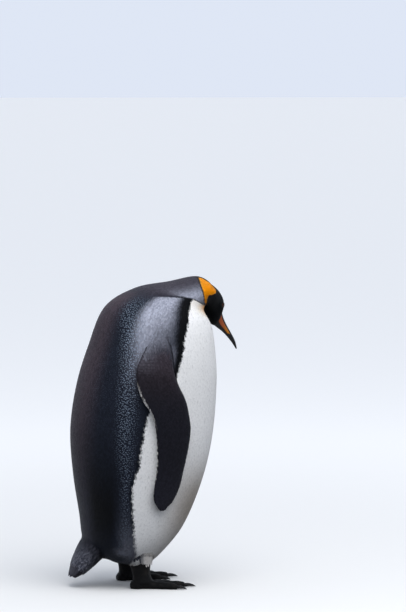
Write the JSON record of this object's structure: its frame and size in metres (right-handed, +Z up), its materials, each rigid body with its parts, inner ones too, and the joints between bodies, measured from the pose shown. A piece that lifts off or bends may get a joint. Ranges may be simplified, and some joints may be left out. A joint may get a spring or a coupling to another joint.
{
  "type": "king penguin",
  "caption": "Life-size standing king penguin with drawn-up shoulders, flippers at its sides and its head bowed over its breast, as a still museum-style figure.",
  "frame": {"origin": "middle of the whole bird's box at its base, on the floor that its soles stand on", "axes": "+X forward, where the breast faces; +Y to the bird's left; +Z up"},
  "size_m": [0.3792, 0.2998, 0.646],
  "materials": {
    "back_feathers": "short dark slate feathers, close and slightly glossy; in life the belly is white",
    "neck_feathers": "fine silver grey feathers",
    "head_feathers": "fine black feathers with an orange patch behind each ear",
    "scaled_skin": "dark pebbled scales",
    "black_horn": "smooth dark horn",
    "bill_plate": "smooth orange pink horn",
    "eye": "wet dark brown"
  },
  "bodies": {
    "root": {"trunk": "back_feathers", "tail": "back_feathers", "flipper_left": "back_feathers", "flipper_right": "back_feathers", "neck": "neck_feathers", "head": "head_feathers", "eye_left": "eye", "eye_right": "eye", "bill_upper": "black_horn", "bill_lower": "bill_plate", "leg_left": "scaled_skin", "foot_left": "scaled_skin", "claw_left_inner": "black_horn", "claw_left_middle": "black_horn", "claw_left_outer": "black_horn", "leg_right": "scaled_skin", "foot_right": "scaled_skin", "claw_right_inner": "black_horn", "claw_right_middle": "black_horn", "claw_right_outer": "black_horn"}
  },
  "joints": []
}
